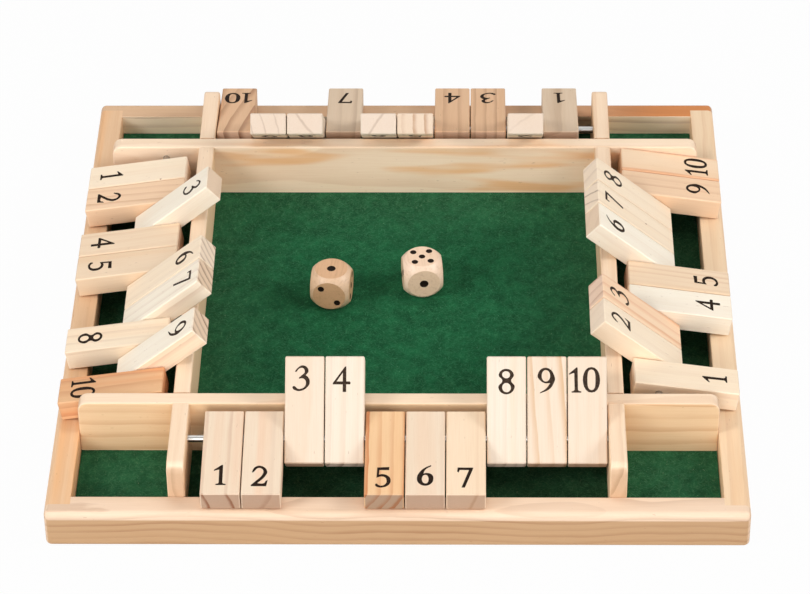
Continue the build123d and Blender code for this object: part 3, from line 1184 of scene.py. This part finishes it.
@dataclass
class Die:
    """One wooden die with painted pips."""

    name: str
    counts: dict[str, int]
    turn: float
    finish: DieFinish
    spacing: float = 3.65
    pip_radius: float = 1.5
    ace_radius: float = 2.0
    pip_depth: float = 0.5
    play: float = 0.01

    def face_turns(self) -> dict[str, Matrix]:
        """The turn that brings the top face to each face."""
        quarter = math.pi / 2
        return {
            "top": Matrix.Identity(4),
            "bottom": Matrix.Rotation(math.pi, 4, "X"),
            "front": Matrix.Rotation(quarter, 4, "X"),
            "back": Matrix.Rotation(-quarter, 4, "X"),
            "right": Matrix.Rotation(quarter, 4, "Y"),
            "left": Matrix.Rotation(-quarter, 4, "Y"),
        }

    @staticmethod
    def pip_steps(count: int) -> list[tuple[int, int]]:
        """Lists the pips of one face.

        Args:
            count: How many pips it has.

        Returns:
            Their places, in steps from the face's middle.
        """
        corners = [(-1, 1), (1, -1), (-1, -1), (1, 1)]
        steps = corners[: count - count % 2]
        if count == 6:
            steps = corners + [(-1, 0), (1, 0)]
        if count % 2:
            steps = steps + [(0, 0)]
        return steps

    def build(self, nodes: dict[str, bpy.types.Object], pip_paint: bpy.types.Material) -> None:
        """Dresses the die and paints its pips.

        Args:
            nodes: The CAD nodes by name.
            pip_paint: The paint of the pips.
        """
        low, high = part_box(self.name)
        middle = (low + high) / 2
        half = (high.z - low.z) / 2
        finish = self.finish.material(f"wood_{self.name}", middle, self.turn)
        dress_node(nodes[self.name], finish)
        place = Matrix.Translation(middle) @ Matrix.Rotation(math.radians(self.turn), 4, "Z")
        shape = bmesh.new()
        for face, face_turn in self.face_turns().items():
            count = self.counts[face]
            radius = self.ace_radius if count == 1 else self.pip_radius
            for step_x, step_y in self.pip_steps(count):
                spot = Vector((step_x * self.spacing * MM, step_y * self.spacing * MM, half))
                self.add_pip(shape, radius, place @ face_turn @ Matrix.Translation(spot))
        finished_piece(f"{self.name}_pips", shape, [pip_paint], self.name)

    def add_pip(self, shape: bmesh.types.BMesh, radius: float, place: Matrix) -> None:
        """Adds one bowl of paint that fills a pip's recess.

        Args:
            shape: The shape that it is added to.
            radius: The recess's radius in millimetres.
            place: Its place, with the origin at the die's face.
        """
        bowl = bmesh.new()
        bmesh.ops.create_cone(
            bowl,
            cap_ends=True,
            segments=28,
            radius1=(radius - self.play) * MM,
            radius2=(radius - self.play) * MM,
            depth=(self.pip_depth - self.play) * MM,
        )
        lift = Vector((0, 0, -self.pip_depth / 2 * MM))
        bmesh.ops.translate(bowl, vec=lift, verts=bowl.verts)
        top = max(bowl.faces, key=lambda face: face.calc_center_median().z)
        for inset, drop in ((0.10, 0.12), (0.30, 0.16), (0.40, 0.08)):
            bmesh.ops.inset_region(bowl, faces=[top], thickness=inset * MM)
            bmesh.ops.translate(bowl, vec=(0, 0, -drop * MM), verts=list(top.verts))
        bmesh.ops.transform(bowl, matrix=place, verts=bowl.verts)
        add_shape(shape, bowl)


@dataclass
class Studio:
    """Pale floor, soft lamps and a white surround."""

    floor_size: float = 8.0
    floor_level: float = -0.0003
    floor_colour: Colour = (0.60, 0.60, 0.60)
    white_share: float = 0.97
    surround: float = 0.35

    def build(self) -> None:
        """Makes the floor, the lamps and the surround."""
        self.lay_floor()
        self.hang_surround()
        self.add_lamp("left_lamp", (-1.56, -0.90, 1.26), 0.8, 19.9)
        self.add_lamp("right_lamp", (1.77, -0.31, 1.26), 0.8, 19.9)
        self.add_lamp("top_lamp", (-0.20, 0.60, 2.40), 1.0, 5.5)
        self.add_lamp("front_lamp", (0.00, -2.22, 0.60), 1.4, 26.0)
        LOG.info("built the studio")

    @staticmethod
    def seen_share(nodes: bpy.types.Nodes, links: bpy.types.NodeLinks) -> Socket:
        """Gives 1 for rays from the camera, mirrors and glass, and otherwise 0.

        Args:
            nodes: The tree's nodes.
            links: The tree's links.

        Returns:
            That share.
        """
        path = nodes.new("ShaderNodeLightPath")
        share = path.outputs["Is Camera Ray"]
        for name in ("Is Glossy Ray", "Is Transmission Ray"):
            either = nodes.new("ShaderNodeMath")
            either.operation = "MAXIMUM"
            links.new(share, either.inputs[0])
            links.new(path.outputs[name], either.inputs[1])
            share = either.outputs[0]
        return share

    def lay_floor(self) -> None:
        """Lays the floor, which shows white but keeps the object's shadow."""
        material = bpy.data.materials.new("studio_floor")
        material.use_nodes = True
        nodes, links = material.node_tree.nodes, material.node_tree.links
        nodes.clear()
        matt = nodes.new("ShaderNodeBsdfDiffuse")
        matt.inputs["Color"].default_value = (*self.floor_colour, 1)
        white = nodes.new("ShaderNodeEmission")
        white.inputs["Color"].default_value = (1, 1, 1, 1)
        part = nodes.new("ShaderNodeMath")
        part.operation = "MULTIPLY"
        links.new(self.seen_share(nodes, links), part.inputs[0])
        part.inputs[1].default_value = self.white_share
        both = nodes.new("ShaderNodeMixShader")
        links.new(part.outputs[0], both.inputs[0])
        links.new(matt.outputs[0], both.inputs[1])
        links.new(white.outputs[0], both.inputs[2])
        output = nodes.new("ShaderNodeOutputMaterial")
        links.new(both.outputs[0], output.inputs["Surface"])
        shape = bmesh.new()
        bmesh.ops.create_grid(shape, x_segments=1, y_segments=1, size=self.floor_size / 2)
        bmesh.ops.translate(shape, vec=(0, 0, self.floor_level), verts=shape.verts)
        mesh = bpy.data.meshes.new("studio_floor")
        shape.to_mesh(mesh)
        shape.free()
        mesh.materials.append(material)
        floor = bpy.data.objects.new("studio_floor", mesh)
        bpy.context.scene.collection.objects.link(floor)

    def hang_surround(self) -> None:
        """Hangs the surround: plain light for the object, white for the camera."""
        world = bpy.data.worlds.new("studio")
        bpy.context.scene.world = world
        world.use_nodes = True
        nodes, links = world.node_tree.nodes, world.node_tree.links
        nodes.clear()
        soft = nodes.new("ShaderNodeBackground")
        soft.inputs["Strength"].default_value = self.surround
        white = nodes.new("ShaderNodeBackground")
        white.inputs["Strength"].default_value = 1.0
        for background in (soft, white):
            background.inputs["Color"].default_value = (1, 1, 1, 1)
        both = nodes.new("ShaderNodeMixShader")
        links.new(self.seen_share(nodes, links), both.inputs[0])
        links.new(soft.outputs[0], both.inputs[1])
        links.new(white.outputs[0], both.inputs[2])
        output = nodes.new("ShaderNodeOutputWorld")
        links.new(both.outputs[0], output.inputs["Surface"])

    @staticmethod
    def add_lamp(name: str, place: Sequence[float], size: float, power: float) -> None:
        """Hangs one square soft lamp that points at the tray.

        Args:
            name: The lamp's name.
            place: Where it hangs, in metres.
            size: Its side in metres.
            power: Its power in watts.
        """
        light = bpy.data.lights.new(name, "AREA")
        light.shape = "SQUARE"
        light.size = size
        light.energy = power
        lamp = bpy.data.objects.new(name, light)
        lamp.location = place
        lamp.rotation_euler = (-Vector(place)).to_track_quat("-Z", "Y").to_euler()
        bpy.context.scene.collection.objects.link(lamp)


@dataclass(frozen=True)
class PhotoCamera:
    """The camera as it stood for the photograph, found from the tray's own corners."""

    focal_pixels: float = 3413.8
    picture_width: float = 810.0
    sensor: float = 36.0
    place: tuple[float, float, float] = (0.0283, -1.2213, 0.9900)
    pitch: float = 0.673
    yaw: float = -0.022
    roll: float = -0.013

    def build(self) -> bpy.types.Object:
        """Makes the camera the scene's own.

        Returns:
            The camera.
        """
        data = bpy.data.cameras.new("photo_camera")
        data.sensor_width = self.sensor
        data.lens = self.focal_pixels * self.sensor / self.picture_width
        ahead = Vector((
            math.sin(self.yaw) * math.cos(self.pitch),
            math.cos(self.yaw) * math.cos(self.pitch),
            -math.sin(self.pitch),
        ))
        level = Vector((math.cos(self.yaw), -math.sin(self.yaw), 0))
        above = level.cross(ahead)
        right = level * math.cos(self.roll) + above * math.sin(self.roll)
        up = above * math.cos(self.roll) - level * math.sin(self.roll)
        turned = Matrix((right, up, -ahead)).transposed()
        camera = bpy.data.objects.new("photo_camera", data)
        camera.matrix_world = Matrix.Translation(self.place) @ turned.to_4x4()
        bpy.context.scene.collection.objects.link(camera)
        bpy.context.scene.camera = camera
        LOG.info("built the camera, lens %.1f mm", data.lens)
        return camera


def main() -> None:
    """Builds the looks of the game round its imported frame."""
    logging.basicConfig(level=logging.INFO, format="%(name)s: %(message)s")
    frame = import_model()
    bpy.context.scene.view_settings.view_transform = "Standard"
    PhotoCamera().build()
    Studio().build()
    nodes = frame["nodes"]
    Tray().build(nodes)
    FeltSheet().build()
    joints = {joint["child"]: joint for joint in frame["joints"]}
    cutter = NumeralCutter()
    plain_ink = PaintFinish().material()
    # A paler copy of the ink for the faces that show while a tile is raised, a painted sheen on those
    # tilted faces.
    sheen_ink = PaintFinish("numeral_ink_faded", paint(46, 34, 26), paint(84, 68, 54)).material()
    for side in Side:
        TileRow(side, joints, cutter, (plain_ink, sheen_ink)).build(nodes)
    pip_paint = PaintFinish("pip_paint", paint(24, 14, 8), paint(38, 25, 17), 0.7).material()
    # Each die's first colour is the painted highlight of its rounded shoulders.
    ruddy = DieFinish(paint(232, 196, 162), paint(220, 174, 133), paint(168, 120, 80))
    creamy = DieFinish(paint(248, 218, 192), paint(243, 210, 180), paint(196, 152, 114))
    left = {"top": 1, "front": 2, "right": 3, "bottom": 6, "back": 5, "left": 4}
    right = {"top": 5, "front": 1, "right": 4, "bottom": 2, "back": 6, "left": 3}
    Die("die_left", left, -6.5, ruddy).build(nodes, pip_paint)
    Die("die_right", right, 6.5, creamy).build(nodes, pip_paint)


if __name__ == "__main__":
    main()
